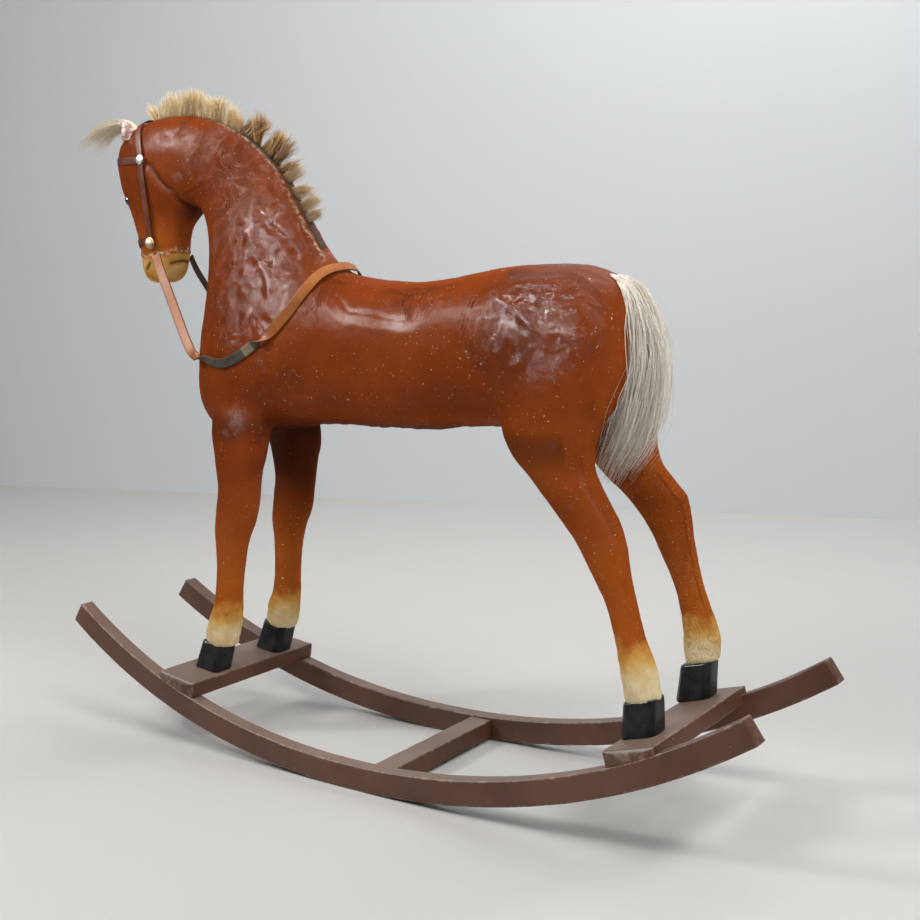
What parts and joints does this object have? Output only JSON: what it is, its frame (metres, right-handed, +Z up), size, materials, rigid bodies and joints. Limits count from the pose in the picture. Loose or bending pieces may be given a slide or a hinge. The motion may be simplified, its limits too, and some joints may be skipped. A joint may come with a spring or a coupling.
{
  "type": "rocking horse",
  "caption": "Lacquered papier-mache rocking horse with hair mane and tail and a leather bridle, standing on curved wooden rockers joined by boards.",
  "frame": {"origin": "on the floor, under the middle of the bounding box", "axes": "+X towards the horse's head along its length, +Y towards the horse's left, +Z up"},
  "size_m": [1.1832, 0.299, 0.9666],
  "materials": {
    "frame_paint": "satin",
    "hoof_black": "gloss",
    "hide_lacquer": "gloss",
    "raw_wood": "matte",
    "steel": "satin",
    "hair_cream": "matte",
    "hair_brown": "matte",
    "strap_leather": "satin",
    "rein_leather": "satin",
    "brass": "satin",
    "nickel": "gloss",
    "eye_glass": "gloss"
  },
  "bodies": {
    "root": {"body_shell": "hide_lacquer", "brow_stud_left": "nickel", "brow_stud_right": "nickel", "browband": "strap_leather", "cross_slat": "frame_paint", "ear_left": "hide_lacquer", "ear_right": "hide_lacquer", "eye_left": "eye_glass", "eye_right": "eye_glass", "forelock_hair": "hair_cream", "front_bolster": "raw_wood", "front_platform": "frame_paint", "front_platform_screw_left": "steel", "front_platform_screw_right": "steel", "headstall": "strap_leather", "hoof_front_left": "hoof_black", "hoof_front_right": "hoof_black", "hoof_rear_left": "hoof_black", "hoof_rear_right": "hoof_black", "hoof_screw_front_left": "steel", "hoof_screw_front_right": "steel", "hoof_screw_rear_left": "steel", "hoof_screw_rear_right": "steel", "leg_dowel_front_left": "raw_wood", "leg_dowel_front_right": "raw_wood", "leg_dowel_rear_left": "raw_wood", "leg_dowel_rear_right": "raw_wood", "leg_front_left": "hide_lacquer", "leg_front_right": "hide_lacquer", "leg_rear_left": "hide_lacquer", "leg_rear_right": "hide_lacquer", "mane_hair_front": "hair_cream", "mane_hair_middle": "hair_brown", "mane_hair_rear": "hair_brown", "mane_strip": "hair_brown", "neck_post": "raw_wood", "nose_stud_left": "brass", "nose_stud_right": "brass", "noseband": "strap_leather", "rear_bolster": "raw_wood", "rear_platform": "frame_paint", "rear_platform_screw_left": "steel", "rear_platform_screw_right": "steel", "reins": "rein_leather", "rocker_left": "frame_paint", "rocker_right": "frame_paint", "slat_nail_left": "steel", "slat_nail_right": "steel", "spine_board": "raw_wood", "tail_hair": "hair_cream", "tail_plug": "raw_wood"}
  },
  "joints": []
}
